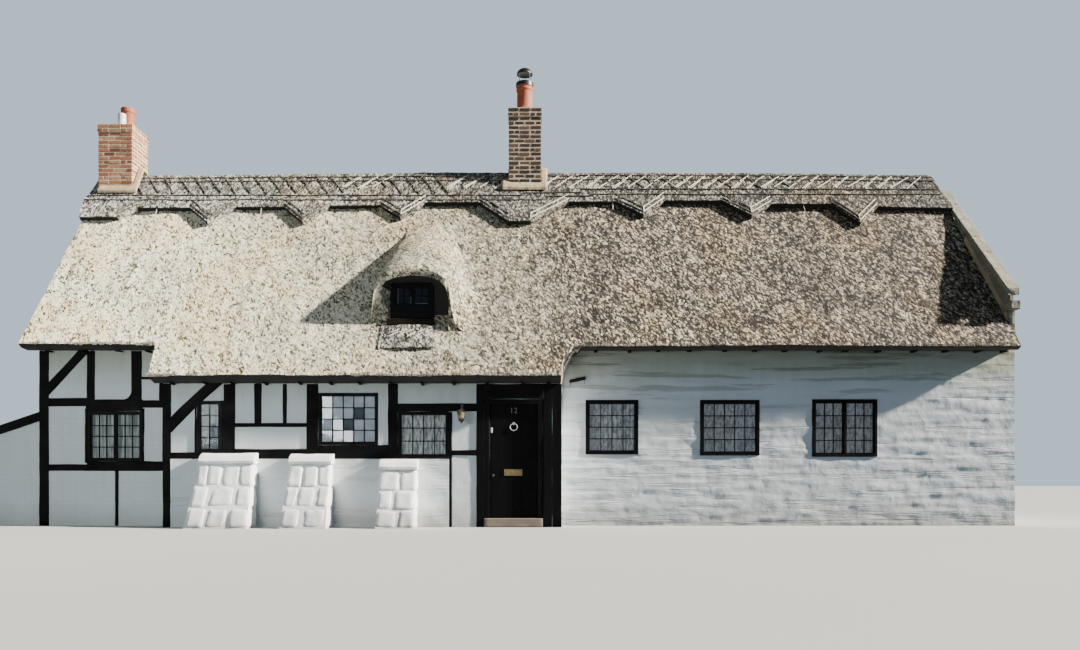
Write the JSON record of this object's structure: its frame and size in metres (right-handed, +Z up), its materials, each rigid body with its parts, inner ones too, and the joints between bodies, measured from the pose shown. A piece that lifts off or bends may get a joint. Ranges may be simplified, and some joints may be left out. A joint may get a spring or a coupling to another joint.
{
  "type": "thatched cottage",
  "caption": "Long thatched cottage with black timber framing, whitewashed stone walls, brick chimneys, a hooded dormer and a front door that opens.",
  "frame": {"origin": "middle of the whole outline at ground level", "axes": "+X along the front to the right, +Y away from the front, +Z up"},
  "size_m": [18.5, 6.75, 9.2286],
  "materials": {
    "thatch": "weathered straw thatch",
    "ridge_thatch": "weathered block-cut ridge thatch",
    "whitewash": "white limewash over rubble, brick and daub",
    "black_timber": "black tarred oak",
    "black_joinery": "black gloss paint",
    "brick": "weathered red brick",
    "mortar": "cream lime mortar",
    "terracotta": "weathered terracotta",
    "coping_stone": "mossy weathered stone",
    "floor_stone": "worn stone flags",
    "floor_boards": "old boards",
    "glass": "clear window glass",
    "iron": "black painted iron",
    "brass": "tarnished brass",
    "zinc": "dull galvanised metal",
    "curtain": "net curtain"
  },
  "bodies": {
    "cottage": {"ground_floor": "floor_stone", "attic_floor": "floor_boards", "bay_wall": "whitewash", "bay_timber_frame": "black_timber", "window_bay": "black_joinery", "bay_glass": "glass", "outshot_plinth": "whitewash", "outshot_wall": "whitewash", "outshot_timber_frame": "black_timber", "window_outshot_left": "black_joinery", "window_outshot_middle": "black_joinery", "window_outshot_right": "black_joinery", "outshot_glass": "glass", "outshot_left_return": "whitewash", "outshot_right_return": "whitewash", "wall_over_door": "whitewash", "door_frame": "black_joinery", "buttress_left": "whitewash", "buttress_middle": "whitewash", "buttress_right": "whitewash", "lantern": "iron", "stone_wall": "whitewash", "window_front_left": "black_joinery", "window_front_middle": "black_joinery", "window_front_right": "black_joinery", "stone_wall_glass": "glass", "swingletree_bar": "black_timber", "rear_wall": "whitewash", "window_rear_left": "black_joinery", "window_rear_middle": "black_joinery", "window_rear_right": "black_joinery", "rear_wall_glass": "glass", "left_gable_front": "whitewash", "left_gable_rear": "whitewash", "right_gable_wall": "whitewash", "coping_front": "coping_stone", "coping_rear": "coping_stone", "thatch_front": "thatch", "thatch_rear": "thatch", "dormer_hood": "thatch", "dormer_apron": "ridge_thatch", "ridge_cap_front": "ridge_thatch", "ridge_cap_rear": "ridge_thatch", "dormer_window": "black_joinery", "dormer_glass": "glass", "left_chimney": "brick", "left_chimney_flaunching": "mortar", "left_chimney_pot": "terracotta", "left_chimney_flue": "zinc", "centre_chimney": "brick", "centre_chimney_flaunching": "mortar", "centre_chimney_pot": "terracotta", "centre_chimney_cowl": "iron", "lean_to_wall": "whitewash", "lean_to_roof": "black_timber"},
    "door": {"door_leaf": "black_timber", "door_knob": "iron", "letterbox": "brass", "door_knocker": "iron"}
  },
  "joints": [
    {"name": "front_door", "type": "hinge", "parent": "cottage", "child": "door", "pos_m": [0.8265, -2.675, 1.11], "axis": [0, 0, -1], "range_deg": [0, 90]}
  ]
}
